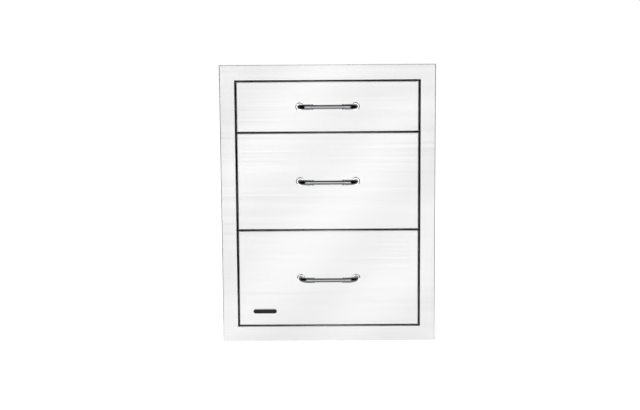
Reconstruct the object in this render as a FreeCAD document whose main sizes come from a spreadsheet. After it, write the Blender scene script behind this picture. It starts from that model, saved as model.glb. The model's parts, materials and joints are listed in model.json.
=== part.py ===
"""Outdoor kitchen drawer unit: a stainless trim frame and cabinet with three drawers on ball slides.

Millimetres. X runs to the right, the drawers open towards -Y and +Z is up. The origin is the middle of
the trim frame's lower edge, in the plane of the frame's back, which lies on the island's face.
"""
import FreeCAD
import Part
import math
import os

import Sketcher
from FreeCAD import Placement, Rotation, Vector

SIZES = {
    # trim frame round the opening
    "frame_width": 495,
    "frame_height": 643,
    "frame_band": 35,
    "frame_depth": 10,
    "frame_sheet": 1.2,
    "frame_bend": 2,
    "frame_lip": 8,
    "jamb_depth": 20,
    # sheet cabinet behind the frame
    "cabinet_depth": 510,
    "panel_sheet": 1,
    "panel_bend": 1.5,
    "pan_bend": 0.8,
    "panel_return": 18,
    "back_return": 15,
    "mount_hole": 5,
    "mount_hole_depth": 12,
    "mount_hole_spacing": 440,
    "mount_window": 16,
    # folded drawer fronts, flush with the frame
    "front_gap": 3.5,
    "front_depth": 20,
    "front_sheet": 1.2,
    "front_bend": 2.5,
    "front_lip": 14,
    "upper_front_height": 114,
    "liner_margin": 6,
    "liner_window": 16,
    # drawer trays
    "tray_sheet": 1,
    "tray_bend": 2,
    "tray_length": 454,
    "tray_lift": 10,
    "tray_rim": 8,
    "tray_rim_drop": 5,
    "tray_flange": 12,
    "upper_tray_height": 75,
    "deep_tray_height": 160,
    # ball slides between the cabinet's sides and the trays
    "slide_length": 450,
    "slide_middle_length": 440,
    "slide_front": 20,
    "slide_rise": 37.5,
    "slide_height": 45.7,
    "slide_thickness": 12.7,
    "slide_sheet": 1.2,
    "slide_slot": 4.6,
    "slide_slot_length": 9,
    "slide_slot_inset": 60,
    "ball": 4,
    "ball_play": 0.067,
    "outer_row": 6.2,
    "inner_row": 8.9,
    "middle_web": 2.6,
    "race_tip_angle": 12,
    "cradle_angle": 205,
    "cage_sheet": 0.5,
    "outer_cage_web": 1.6,
    "inner_cage_web": 4.3,
    "cage_length": 200,
    "cage_overhang": 1.4,
    "cage_pocket": 4.3,
    "cage_pockets": 4,
    "cage_setback": 124,
    "stop_length": 4.6,
    "stop_gap": 0.4,
    "stop_height": 16,
    "stop_nose": 3,
    # bar handles
    "handle_spacing": 128,
    "handle_reach": 30,
    "bar_diameter": 9.6,
    "rosette_diameter": 19,
    "rosette_height": 2.2,
    "post_diameter": 12,
    "elbow_bend": 16,
    "elbow_steps": 3,
    "arm_length": 31.5,
    "collar_diameter": 13,
    "collar_length": 4,
}

# formulas that several sub-parts share
OPENING_SIDE = "(Sizes.frame_width / 2 - Sizes.frame_band)"
OPENING_LOW = "Sizes.frame_band"
OPENING_HIGH = "(Sizes.frame_height - Sizes.frame_band)"
JAMB_SIDE = f"({OPENING_SIDE} + Sizes.frame_sheet)"
BOX_SIDE = f"({JAMB_SIDE} + Sizes.panel_sheet)"
WALL_LOW = f"({OPENING_LOW} - Sizes.frame_sheet)"
WALL_HIGH = f"({OPENING_HIGH} + Sizes.frame_sheet)"
FRONT_SIDE = f"({OPENING_SIDE} - Sizes.front_gap)"
FRONT_BACK = "(Sizes.front_depth - Sizes.frame_depth)"
LINER_BACK = f"({FRONT_BACK} + Sizes.panel_sheet)"
DEEP_FRONT_HEIGHT = (
    f"(({OPENING_HIGH} - {OPENING_LOW} - Sizes.upper_front_height - 4 * Sizes.front_gap) / 2)"
)
TRAY_SIDE = f"({JAMB_SIDE} - Sizes.slide_thickness)"
LOWER_FRONT_LOW = f"({OPENING_LOW} + Sizes.front_gap)"
MIDDLE_FRONT_LOW = f"({LOWER_FRONT_LOW} + {DEEP_FRONT_HEIGHT} + Sizes.front_gap)"
UPPER_FRONT_LOW = f"({MIDDLE_FRONT_LOW} + {DEEP_FRONT_HEIGHT} + Sizes.front_gap)"

# name, bottom edge of the front, height of the front, height of the tray
DRAWERS = [
    ("upper", UPPER_FRONT_LOW, "Sizes.upper_front_height", "Sizes.upper_tray_height"),
    ("middle", MIDDLE_FRONT_LOW, DEEP_FRONT_HEIGHT, "Sizes.deep_tray_height"),
    ("lower", LOWER_FRONT_LOW, DEEP_FRONT_HEIGHT, "Sizes.deep_tray_height"),
]

document = FreeCAD.newDocument("drawer_unit")
sheet = document.addObject("Spreadsheet::Sheet", "Sizes")
for row, (alias, size) in enumerate(SIZES.items(), start=1):
    sheet.set(f"A{row}", alias)
    sheet.set(f"B{row}", str(size))
    sheet.setAlias(f"B{row}", alias)
document.recompute()

sub_parts = []


def value(formula):
    """The number that a formula gives with the sheet's present sizes."""
    result = sheet.evalExpression(str(formula))
    return float(getattr(result, "Value", result))


def bind(thing, **formulas):
    """Bind properties to formulas. A double underscore in a name stands for a dot."""
    for name, formula in formulas.items():
        thing.setExpression(name.replace("__", "."), formula)


def bound_constraint(sketch, formula, kind, *places):
    index = sketch.addConstraint(Sketcher.Constraint(kind, *places, value(formula)))
    sketch.setExpression(f"Constraints[{index}]", formula)


def arc_between(start, end, radius):
    """The short arc from start to end. It turns left for a positive radius and right for a negative one."""
    half = (end - start) * 0.5
    rise = math.copysign(math.sqrt(radius**2 - half.Length**2), radius)
    centre = start + half + Vector(-half.y, half.x, 0).normalize() * rise
    ends = (start, end) if radius > 0 else (end, start)
    angles = [math.atan2(place.y - centre.y, place.x - centre.x) for place in ends]
    circle = Part.Circle(centre, Vector(0, 0, 1), abs(radius))
    return Part.ArcOfCircle(circle, *angles)


def draw(sketch, corners, closed=True):
    """Draw lines and arcs through corners of two formulas each. A third gives the arc that leaves the corner."""
    first = sketch.GeometryCount
    count = len(corners)
    places = [Vector(value(corner[0]), value(corner[1]), 0) for corner in corners]
    radii = [value(corner[2]) if len(corner) == 3 else 0 for corner in corners]
    edges = count if closed else count - 1

    def end(number, far):
        """The sketcher's number for an edge's near or far end, which swap on an arc that turns right."""
        return 2 if far == (radii[number] >= 0) else 1

    for number in range(edges):
        start, stop = places[number], places[(number + 1) % count]
        curved = arc_between(start, stop, radii[number]) if radii[number] else Part.LineSegment(start, stop)
        sketch.addGeometry(curved, False)
    for number in range(edges if closed else edges - 1):
        follower = (number + 1) % count
        ends = (first + number, end(number, True), first + follower, end(follower, False))
        sketch.addConstraint(Sketcher.Constraint("Coincident", *ends))
    for number, corner in enumerate(corners):
        edge, far = (number, False) if number < edges else (number - 1, True)
        place = (-1, 1, first + edge, end(edge, far))
        bound_constraint(sketch, corner[0], "DistanceX", *place)
        bound_constraint(sketch, corner[1], "DistanceY", *place)
        if radii[number] and number < edges:
            bound_constraint(sketch, f"abs({corner[2]})", "Radius", first + number)


def rectangle(sketch, left, right, low, high):
    draw(sketch, [(left, low), (right, low), (right, high), (left, high)])


def circle(sketch, across, up, diameter):
    edge = sketch.GeometryCount
    centre = Vector(value(across), value(up), 0)
    sketch.addGeometry(Part.Circle(centre, Vector(0, 0, 1), value(diameter) / 2), False)
    bound_constraint(sketch, across, "DistanceX", -1, 1, edge, 3)
    bound_constraint(sketch, up, "DistanceY", -1, 1, edge, 3)
    bound_constraint(sketch, diameter, "Diameter", edge)


def add_body(label, y="0", z="0"):
    body = document.addObject("PartDesign::Body", label)
    body.Label = label
    bind(body, Placement__Base__y=y, Placement__Base__z=z)
    return body


def add_sketch(body, plane="XZ_Plane", shift="0"):
    """A sketch on one of the body's own planes, shifted along the plane's normal (-Y for the XZ plane)."""
    sketch = body.newObject("Sketcher::SketchObject", f"{body.Name}_sketch")
    support = next(item for item in body.Origin.OriginFeatures if item.Role == plane)
    sketch.AttachmentSupport = [(support, "")]
    sketch.MapMode = "FlatFace"
    bind(sketch, AttachmentOffset__Base__z=shift)
    return sketch


def pad(body, sketch, length, backwards=False, both_ways=False):
    """Extrude along the sketch's normal, or backwards."""
    feature = body.newObject("PartDesign::Pad", f"{body.Name}_pad")
    feature.Profile = sketch
    feature.Reversed = backwards
    feature.Midplane = both_ways
    bind(feature, Length=length)
    document.recompute()
    return feature


def pocket(body, sketch, length, forwards=False, both_ways=False):
    """Cut against the sketch's normal, or forwards along it. A cut that removes nothing is an error."""
    before = body.Shape.Volume
    feature = body.newObject("PartDesign::Pocket", f"{body.Name}_pocket")
    feature.Profile = sketch
    feature.Reversed = forwards
    feature.Midplane = both_ways
    bind(feature, Length=length)
    document.recompute()
    if not feature.Shape.Volume < before:
        raise RuntimeError(f"{feature.Name} cuts nothing")
    return feature


def edges_in(feature, low, high):
    """Names of the edges whose boxes lie between two corners, each of three formulas or None."""
    slack = 0.01
    names = []
    for number, edge in enumerate(feature.Shape.Edges, start=1):
        box = edge.BoundBox
        lows = (box.XMin, box.YMin, box.ZMin)
        highs = (box.XMax, box.YMax, box.ZMax)
        above = all(limit is None or place >= value(limit) - slack for place, limit in zip(lows, low))
        below = all(limit is None or place <= value(limit) + slack for place, limit in zip(highs, high))
        if above and below:
            names.append(f"Edge{number}")
    return names


def round_edges(body, feature, low, high, radius):
    fillet = body.newObject("PartDesign::Fillet", f"{body.Name}_fillet")
    fillet.Base = (feature, edges_in(feature, low, high))
    bind(fillet, Radius=radius)
    document.recompute()
    return fillet


def shell(body, feature, open_side, thickness):
    """Hollow a block into a pan of folded sheet, open on the face that lies at open_side along Y."""
    place = value(open_side)
    faces = [
        f"Face{number}"
        for number, face in enumerate(feature.Shape.Faces, start=1)
        if max(abs(face.BoundBox.YMin - place), abs(face.BoundBox.YMax - place)) < 0.01
    ]
    thick = body.newObject("PartDesign::Thickness", f"{body.Name}_shell")
    thick.Base = (feature, faces)
    thick.Mode = "Skin"
    thick.Join = "Arc"
    thick.Reversed = True
    bind(thick, Value=thickness)
    document.recompute()
    return thick


def keep(thing):
    """List a finished sub-part, whose label names its file."""
    sub_parts.append(thing)
    return thing


def folded_profile(name, corners, thickness):
    """The cross-section of sheet folded along an open path. The thickness's sign picks the sheet's side."""
    path = document.addObject("Sketcher::SketchObject", f"{name}_path")
    draw(path, corners, closed=False)
    section = document.addObject("Part::Offset2D", f"{name}_section")
    section.Source = path
    section.Mode = "Skin"
    section.Join = "Intersection"
    section.Fill = True
    bind(section, Value=thickness)
    return section


def extrude(name, section, length):
    """A length of section, which starts at its own plane and runs along its normal."""
    bar = document.addObject("Part::Extrusion", name)
    bar.Base = section
    bar.DirMode = "Normal"
    bar.Solid = True
    bind(bar, LengthFwd=length)
    return bar


def cut(name, base, tools):
    """Cut a list of tools from a solid."""
    joined = document.addObject("Part::Compound", f"{name}_tools")
    joined.Links = tools
    result = document.addObject("Part::Cut", name)
    result.Base = base
    result.Tool = joined
    return result


UPRIGHT = Rotation(Vector(1, 0, 0), 90)
AS_DRAWN = Rotation()
TURNED_OVER = Rotation(Vector(0, 1, 0), 180)


def place(label, pattern, x, y, z, turn=AS_DRAWN):
    """One more of a repeated piece."""
    copy = document.addObject("Part::Compound", label)
    copy.Label = label
    copy.Links = [pattern]
    copy.Placement = Placement(Vector(), turn)
    bind(copy, Placement__Base__x=x, Placement__Base__y=y, Placement__Base__z=z)
    return copy


def group(label, pieces):
    """Identical pieces that share one file."""
    together = document.addObject("Part::Compound", label)
    together.Label = label
    together.Links = pieces
    return together


def build_face_frame():
    """A flat band with folded edges, a lip that lies on the island and a jamb that lines the opening."""
    body = add_body("face_frame")
    half_width = "Sizes.frame_width / 2"
    front = "-Sizes.frame_depth"
    outline = add_sketch(body)
    rectangle(outline, f"-{half_width}", half_width, "0", "Sizes.frame_height")
    block = pad(body, outline, "Sizes.frame_depth")
    pan = shell(body, block, "0", "Sizes.frame_sheet")
    round_edges(body, pan, (None, front, None), (None, front, None), "Sizes.frame_bend")

    opening = add_sketch(body)
    rectangle(opening, f"-{OPENING_SIDE}", OPENING_SIDE, OPENING_LOW, OPENING_HIGH)
    pocket(body, opening, "2 * Sizes.frame_depth", forwards=True)

    jamb = add_sketch(body, shift="-Sizes.jamb_depth")
    rectangle(jamb, f"-{JAMB_SIDE}", JAMB_SIDE, WALL_LOW, WALL_HIGH)
    rectangle(jamb, f"-{OPENING_SIDE}", OPENING_SIDE, OPENING_LOW, OPENING_HIGH)
    jambed = pad(body, jamb, "Sizes.jamb_depth + Sizes.frame_depth")
    low = (f"-{OPENING_SIDE}", front, OPENING_LOW)
    high = (OPENING_SIDE, front, OPENING_HIGH)
    round_edges(body, jambed, low, high, "Sizes.frame_bend")

    lip = add_sketch(body)
    rectangle(lip, f"-{half_width}", half_width, "0", "Sizes.frame_height")
    inner = f"({half_width} - Sizes.frame_lip)"
    rectangle(lip, f"-{inner}", inner, "Sizes.frame_lip", "Sizes.frame_height - Sizes.frame_lip")
    pad(body, lip, "Sizes.frame_sheet")
    holes = add_sketch(body, "YZ_Plane")
    for sign in "-+":
        height = f"(Sizes.frame_height {sign} Sizes.mount_hole_spacing) / 2"
        circle(holes, "Sizes.mount_hole_depth", height, "Sizes.mount_hole")
    pocket(body, holes, "Sizes.frame_width", both_ways=True)
    keep(body)


def build_cabinet_sides():
    """Side panels with returns behind the jamb, and windows that leave the jamb's screw holes bare."""
    for name, sign in (("left", "-"), ("right", "")):
        body = add_body(f"cabinet_side_{name}")
        outer = f"{sign}{BOX_SIDE}"
        inner = f"{sign}{JAMB_SIDE}"
        edge = f"{sign}({BOX_SIDE} - Sizes.panel_return)"
        low_inside = f"({WALL_LOW} + Sizes.panel_sheet)"
        high_inside = f"({WALL_HIGH} - Sizes.panel_sheet)"
        section = add_sketch(body)
        corners = [
            (outer, WALL_LOW),
            (outer, WALL_HIGH),
            (edge, WALL_HIGH),
            (edge, high_inside),
            (inner, high_inside),
            (inner, low_inside),
            (edge, low_inside),
            (edge, WALL_LOW),
        ]
        draw(section, corners)
        panel = pad(body, section, "Sizes.cabinet_depth", backwards=True)
        for bend in (WALL_LOW, WALL_HIGH):
            panel = round_edges(body, panel, (outer, "0", bend), (outer, None, bend), "Sizes.panel_bend")
        notch = add_sketch(body)
        sides = sorted((inner, f"{sign}({BOX_SIDE} - Sizes.panel_return - 1)"), key=value)
        rectangle(notch, sides[0], sides[1], "0", "Sizes.frame_height")
        pocket(body, notch, "Sizes.jamb_depth + 0.5")
        windows = add_sketch(body, "YZ_Plane")
        for end in "-+":
            height = f"((Sizes.frame_height {end} Sizes.mount_hole_spacing) / 2"
            half = "Sizes.mount_window / 2)"
            rectangle(windows, "-1", "Sizes.jamb_depth", f"{height} - {half}", f"{height} + {half}")
        pocket(body, windows, "Sizes.frame_width", both_ways=True)
        keep(body)


def build_cabinet_top_and_bottom():
    for name, low in (("bottom", f"{WALL_LOW} - Sizes.panel_sheet"), ("top", WALL_HIGH)):
        body = add_body(f"cabinet_{name}", z=low)
        outline = add_sketch(body, "XY_Plane")
        rectangle(outline, f"-{BOX_SIDE}", BOX_SIDE, "0", "Sizes.cabinet_depth")
        pad(body, outline, "Sizes.panel_sheet")
        keep(body)


def build_cabinet_back():
    """A shallow pan that closes the cabinet, with its edges folded forwards."""
    body = add_body("cabinet_back", y="Sizes.cabinet_depth")
    outline = add_sketch(body)
    low = f"{WALL_LOW} + Sizes.panel_sheet"
    high = f"{WALL_HIGH} - Sizes.panel_sheet"
    rectangle(outline, f"-{JAMB_SIDE}", JAMB_SIDE, low, high)
    block = pad(body, outline, "Sizes.back_return")
    pan = shell(body, block, "-Sizes.back_return", "Sizes.panel_sheet")
    round_edges(body, pan, (None, "0", None), (None, "0", None), "Sizes.pan_bend")
    keep(body)


def build_front(name, low, height):
    """A folded pan with rear lips."""
    body = add_body(f"drawer_front_{name}", y=FRONT_BACK, z=low)
    outline = add_sketch(body)
    rectangle(outline, f"-{FRONT_SIDE}", FRONT_SIDE, "0", height)
    block = pad(body, outline, "Sizes.front_depth")
    front = "-Sizes.front_depth"
    pan = shell(body, block, "0", "Sizes.front_sheet")
    round_edges(body, pan, (None, front, None), (None, front, None), "Sizes.front_bend")
    lips = add_sketch(body)
    rectangle(lips, f"-{FRONT_SIDE}", FRONT_SIDE, "0", height)
    inner = f"({FRONT_SIDE} - Sizes.front_lip)"
    rectangle(lips, f"-{inner}", inner, "Sizes.front_lip", f"{height} - Sizes.front_lip")
    pad(body, lips, "Sizes.front_sheet")
    keep(body)


def build_liner(name, low, height):
    """A flat sheet on the front's rear lips, with windows behind the handle's screws."""
    body = add_body(f"front_liner_{name}", y=LINER_BACK, z=low)
    outline = add_sketch(body)
    side = f"({FRONT_SIDE} - Sizes.liner_margin)"
    rectangle(outline, f"-{side}", side, "Sizes.liner_margin", f"{height} - Sizes.liner_margin")
    pad(body, outline, "Sizes.panel_sheet")
    windows = add_sketch(body)
    half = "Sizes.liner_window / 2"
    for sign in "-+":
        across = f"({sign}Sizes.handle_spacing / 2)"
        low_edge = f"{height} / 2 - {half}"
        rectangle(windows, f"{across} - {half}", f"{across} + {half}", low_edge, f"{height} / 2 + {half}")
    pocket(body, windows, "Sizes.front_depth", both_ways=True)
    keep(body)


def build_tray(name, low, tray_height):
    """Floor and sides in one folded sheet, with safe rims along the sides and a flange at the front."""
    body = add_body(f"tray_{name}", y=LINER_BACK, z=f"{low} + Sizes.tray_lift")
    wall = f"({TRAY_SIDE} - Sizes.tray_sheet)"
    rim = f"({TRAY_SIDE} - Sizes.tray_rim)"
    rim_inside = f"({rim} + Sizes.tray_sheet)"
    under_rim = f"({tray_height} - Sizes.tray_sheet)"
    rim_foot = f"({tray_height} - Sizes.tray_rim_drop)"
    right = [
        (TRAY_SIDE, "0"),
        (TRAY_SIDE, tray_height),
        (rim, tray_height),
        (rim, rim_foot),
        (rim_inside, rim_foot),
        (rim_inside, under_rim),
        (wall, under_rim),
        (wall, "Sizes.tray_sheet"),
    ]
    left = [(f"-{across}", up) for across, up in reversed(right)]
    section = add_sketch(body)
    draw(section, right + left)
    tray = pad(body, section, "Sizes.tray_length", backwards=True)
    for side in (f"-{TRAY_SIDE}", TRAY_SIDE):
        for bend, radius in (("0", "Sizes.tray_bend"), (tray_height, "Sizes.panel_bend")):
            tray = round_edges(body, tray, (side, "0", bend), (side, None, bend), radius)
    flange = add_sketch(body)
    flange_side = f"({wall} - Sizes.tray_flange)"
    flange_top = f"({rim_foot} - 1)"
    outline = [
        (f"-{wall}", "Sizes.tray_sheet"),
        (wall, "Sizes.tray_sheet"),
        (wall, flange_top),
        (flange_side, flange_top),
        (flange_side, "Sizes.tray_flange"),
        (f"-{flange_side}", "Sizes.tray_flange"),
        (f"-{flange_side}", flange_top),
        (f"-{wall}", flange_top),
    ]
    draw(flange, outline)
    pad(body, flange, "Sizes.tray_sheet", backwards=True)
    notch = add_sketch(body, shift="-Sizes.tray_length")
    rectangle(notch, f"-{wall}", wall, f"{rim_foot} - 1", f"{tray_height} + 1")
    pocket(body, notch, "Sizes.tray_flange", forwards=True)
    keep(body)


def build_tray_back(name, low, tray_height):
    """A pan with its edges folded forwards, between the tray's sides and on its floor."""
    rear = f"{LINER_BACK} + Sizes.tray_length"
    body = add_body(f"tray_back_{name}", y=rear, z=f"{low} + Sizes.tray_lift + Sizes.tray_sheet")
    side = f"({TRAY_SIDE} - Sizes.tray_sheet)"
    outline = add_sketch(body)
    rectangle(outline, f"-{side}", side, "0", f"{tray_height} - Sizes.tray_sheet")
    block = pad(body, outline, "Sizes.tray_flange")
    pan = shell(body, block, "-Sizes.tray_flange", "Sizes.tray_sheet")
    round_edges(body, pan, (None, "0", None), (None, "0", None), "Sizes.pan_bend")
    keep(body)


# Slide sections, seen from the front: across is the way from the cabinet's side towards the tray, and up
# is measured from the slide's middle. Each ball runs between two races of the same radius.
RACE = "(Sizes.ball / 2 + Sizes.ball_play)"
OUTER_FACE = "(Sizes.slide_height / 2 - Sizes.slide_sheet)"
OUTER_BALL_UP = f"({OUTER_FACE} - {RACE})"
ROW_SHIFT = "(Sizes.inner_row - Sizes.outer_row)"
ROW_REACH = f"(2 * {RACE} + Sizes.slide_sheet)"
INNER_BALL_UP = f"({OUTER_BALL_UP} - sqrt({ROW_REACH}^2 - {ROW_SHIFT}^2))"


def on_circle(across, up, radius, angle):
    """A point on a circle, as two formulas."""
    return (f"({across} + {radius} * cos({angle}))", f"({up} + {radius} * sin({angle}))")


def mirrored_down(upper_half):
    """The whole path: the upper half drawn backwards below, then the upper half."""
    lower_half = []
    for number in range(len(upper_half) - 1, -1, -1):
        across, up = upper_half[number][:2]
        arc_before = upper_half[number - 1][2:] if number else ()
        lower_half.append((across, f"-{up}", *arc_before))
    return lower_half + upper_half


def outer_member_section():
    """The cabinet member: its flanges curl down round the outer rows of balls."""
    tip = on_circle("Sizes.outer_row", OUTER_BALL_UP, RACE, "Sizes.race_tip_angle")
    upper_half = [
        ("Sizes.slide_sheet", OUTER_FACE),
        ("Sizes.outer_row", OUTER_FACE, f"-{RACE}"),
        tip,
    ]
    return folded_profile("outer_member", mirrored_down(upper_half), "Sizes.slide_sheet")


def middle_member_section():
    """The travelling member: an S-shaped flange cradles the outer balls and covers the inner ones."""
    outside = f"({RACE} + Sizes.slide_sheet)"
    flange_up = f"({OUTER_BALL_UP} - Sizes.ball / 2 + 0.4)"
    flange_drop = f"({OUTER_BALL_UP} - {flange_up})"
    cradle_start = f"(Sizes.outer_row - sqrt({RACE}^2 - {flange_drop}^2))"
    meeting = [
        f"(Sizes.outer_row + {RACE} / {ROW_REACH} * {ROW_SHIFT})",
        f"({OUTER_BALL_UP} - {RACE} / {ROW_REACH} * ({OUTER_BALL_UP} - {INNER_BALL_UP}))",
    ]
    tip = on_circle("Sizes.inner_row", INNER_BALL_UP, outside, "Sizes.race_tip_angle")
    upper_half = [
        ("Sizes.middle_web", flange_up),
        (cradle_start, flange_up, RACE),
        (*meeting, f"-{outside}"),
        tip,
    ]
    return folded_profile("middle_member", mirrored_down(upper_half), "-Sizes.slide_sheet")


def inner_member_section():
    """The tray member: it faces the other way, and its flanges carry the inner rows of balls."""
    web = "(Sizes.slide_thickness - Sizes.slide_sheet)"
    outside = f"({RACE} + Sizes.slide_sheet)"
    flange_up = f"({INNER_BALL_UP} - {outside})"
    tip = on_circle("Sizes.inner_row", INNER_BALL_UP, outside, "Sizes.cradle_angle")
    upper_half = [
        (web, flange_up),
        ("Sizes.inner_row", flange_up, f"-{outside}"),
        tip,
    ]
    return folded_profile("inner_member", mirrored_down(upper_half), "-Sizes.slide_sheet")


def cage_section(name, web, row, ball_up):
    """A strip folded round the rows of balls above and below."""
    edge = f"({row} + Sizes.cage_overhang)"
    up = f"({ball_up} - Sizes.cage_sheet / 2)"
    face = f"({web} + Sizes.cage_sheet)"
    corners = [(edge, f"-{up}"), (face, f"-{up}"), (face, up), (edge, up)]
    return folded_profile(name, corners, "-Sizes.cage_sheet")


def slotted(name, bar, across, length):
    """Screw slots through a member's web, near both ends."""
    tools = []
    for end, along in (("front", "Sizes.slide_slot_inset"), ("rear", f"{length} - Sizes.slide_slot_inset")):
        slot = document.addObject("Part::Box", f"{name}_{end}_slot")
        bind(slot, Length="4 * Sizes.slide_sheet", Width="Sizes.slide_slot", Height="Sizes.slide_slot_length")
        bind(slot, Placement__Base__x=f"{across} - 2 * Sizes.slide_sheet")
        bind(slot, Placement__Base__y="-Sizes.slide_slot / 2")
        bind(slot, Placement__Base__z=f"{along} - Sizes.slide_slot_length / 2")
        tools.append(slot)
    return cut(name, bar, tools)


def combed(name, strip, row, ball_up):
    """Open pockets for the balls along both edges of a cage."""
    tools = []
    pitch = "Sizes.cage_length / Sizes.cage_pockets"
    for number in range(SIZES["cage_pockets"]):
        pocket_box = document.addObject("Part::Box", f"{name}_pocket_{number}")
        bind(pocket_box, Length="Sizes.cage_pocket + Sizes.cage_overhang", Width=f"3 * {ball_up}")
        bind(pocket_box, Height="Sizes.cage_pocket")
        bind(pocket_box, Placement__Base__x=f"{row} - Sizes.cage_pocket / 2")
        bind(pocket_box, Placement__Base__y=f"-1.5 * {ball_up}")
        bind(pocket_box, Placement__Base__z=f"({number} + 0.5) * {pitch} - Sizes.cage_pocket / 2")
        tools.append(pocket_box)
    return cut(name, strip, tools)


def stop_pattern():
    """A nylon stop with a sloped nose, clipped into the cabinet member behind the travelling one."""
    body = add_body("slide_stop_pattern")
    section = add_sketch(body)
    across = "Sizes.outer_row"
    half = "Sizes.stop_height / 2"
    nose = f"({half} - Sizes.stop_nose)"
    corners = [
        ("Sizes.slide_sheet", f"-{half}"),
        (across, f"-{half}"),
        (f"({across} + Sizes.stop_nose)", f"-{nose}"),
        (f"({across} + Sizes.stop_nose)", nose),
        (across, half),
        ("Sizes.slide_sheet", half),
    ]
    draw(section, corners)
    pad(body, section, "Sizes.stop_length", backwards=True)
    return body


def build_slides():
    """Three nested members and two ball cages on each side of each drawer."""
    length = "Sizes.slide_length"
    middle_length = "Sizes.slide_middle_length"
    outer_bar = extrude("outer_bar", outer_member_section(), length)
    middle = extrude("middle_pattern", middle_member_section(), middle_length)
    inner_bar = extrude("inner_bar", inner_member_section(), length)
    outer = slotted("outer_pattern", outer_bar, "Sizes.slide_sheet", length)
    inner = slotted("inner_pattern", inner_bar, "Sizes.slide_thickness", length)
    cages = {}
    rows = {
        "outer": ("Sizes.outer_cage_web", "Sizes.outer_row", OUTER_BALL_UP),
        "inner": ("Sizes.inner_cage_web", "Sizes.inner_row", INNER_BALL_UP),
    }
    for kind, (web, row, ball_up) in rows.items():
        strip = extrude(f"{kind}_strip", cage_section(f"{kind}_cage", web, row, ball_up), "Sizes.cage_length")
        cages[kind] = combed(f"{kind}_cage_pattern", strip, row, ball_up)
    stop = stop_pattern()

    rear = f"(Sizes.slide_front + {length})"
    middle_rear = f"({rear} - Sizes.stop_length - Sizes.stop_gap)"
    cage_rear = "(Sizes.slide_front + Sizes.cage_setback + Sizes.cage_length)"
    stops = []
    for name, low, _, _ in DRAWERS:
        up = f"{low} + Sizes.tray_lift + Sizes.slide_rise"
        for side, across, turn in (("left", f"-{JAMB_SIDE}", AS_DRAWN), ("right", JAMB_SIDE, TURNED_OVER)):
            upright = turn.multiply(UPRIGHT)
            keep(place(f"slide_outer_{name}_{side}", outer, across, rear, up, upright))
            keep(place(f"slide_middle_{name}_{side}", middle, across, middle_rear, up, upright))
            keep(place(f"slide_inner_{name}_{side}", inner, across, rear, up, upright))
            for kind, cage in cages.items():
                keep(place(f"{kind}_cage_{name}_{side}", cage, across, cage_rear, up, upright))
            stop_front = f"{rear} - Sizes.stop_length"
            stops.append(place(f"slide_stop_{name}_{side}", stop, across, stop_front, up, turn))
    keep(group("slide_stops", stops))


# Handle pieces are drawn round one screw: the drawer front's face is y = 0, and the bar lies towards +X.


def rosette_pattern():
    """A thin round plate under the foot of a post."""
    body = add_body("rosette_pattern")
    section = add_sketch(body)
    circle(section, "0", "0", "Sizes.rosette_diameter")
    pad(body, section, "Sizes.rosette_height")
    return body


def ring(body, across, out, turn):
    """A round section of the post, which faces along its centre line."""
    sketch = add_sketch(body, "XZ_Plane", shift=out)
    sketch.AttachmentOffset = Placement(Vector(), Rotation(Vector(0, 1, 0), 1))
    bind(sketch, AttachmentOffset__Base__x=across, AttachmentOffset__Base__z=out)
    bind(sketch, AttachmentOffset__Rotation__Angle=turn)
    circle(sketch, "0", "0", "Sizes.post_diameter")
    return sketch


def post_pattern():
    """A stem, a quarter bend in a few straight steps and an arm that ends in a collar for the bar."""
    body = add_body("handle_post_pattern")
    bend = "Sizes.elbow_bend"
    bend_out = f"(Sizes.handle_reach - {bend})"
    rings = [ring(body, "0", "Sizes.rosette_height", "0")]
    for step in range(SIZES["elbow_steps"] + 1):
        turn = f"(90 * {step} / Sizes.elbow_steps)"
        across = f"{bend} * (1 - cos({turn}))"
        rings.append(ring(body, across, f"{bend_out} + {bend} * sin({turn})", turn))
    collar_start = "Sizes.arm_length - Sizes.collar_length"
    rings.append(ring(body, collar_start, "Sizes.handle_reach", "90"))
    loft = body.newObject("PartDesign::AdditiveLoft", "handle_post_loft")
    loft.Profile = rings[0]
    loft.Sections = rings[1:]
    loft.Ruled = True
    collar = add_sketch(body, "YZ_Plane", shift=collar_start)
    circle(collar, "-Sizes.handle_reach", "0", "Sizes.collar_diameter")
    pad(body, collar, "Sizes.collar_length")
    return body


def bar_pattern():
    body = add_body("handle_bar_pattern")
    section = add_sketch(body, "YZ_Plane")
    circle(section, "-Sizes.handle_reach", "0", "Sizes.bar_diameter")
    pad(body, section, "Sizes.handle_spacing - 2 * Sizes.arm_length", both_ways=True)
    return body


def build_handles():
    rosette, post, bar = rosette_pattern(), post_pattern(), bar_pattern()
    face = "-Sizes.frame_depth"
    for name, low, height, _ in DRAWERS:
        up = f"{low} + {height} / 2"
        keep(place(f"handle_bar_{name}", bar, "0", face, up))
        rosettes = []
        posts = []
        for side, sign, turn in (("left", "-", AS_DRAWN), ("right", "", TURNED_OVER)):
            across = f"{sign}Sizes.handle_spacing / 2"
            posts.append(place(f"handle_post_{name}_{side}", post, across, face, up, turn))
            rosettes.append(place(f"rosette_{name}_{side}", rosette, across, face, up, turn))
        keep(group(f"handle_posts_{name}", posts))
        keep(group(f"handle_rosettes_{name}", rosettes))


def check_and_write():
    """Write one file for each sub-part, once every object of the document is sound."""
    document.recompute()
    faulty = [thing.Name for thing in document.Objects if {"Invalid", "Error"} & set(thing.State)]
    for thing in sub_parts:
        if thing.Shape.isNull() or not thing.Shape.isValid() or not thing.Shape.Solids:
            faulty.append(thing.Label)
    if faulty:
        raise RuntimeError(f"faulty objects: {faulty}")
    os.makedirs("parts", exist_ok=True)
    for thing in sub_parts:
        thing.Shape.exportStep(f"parts/{thing.Label}.step")
    print(len(sub_parts), "sub-parts")


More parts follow.
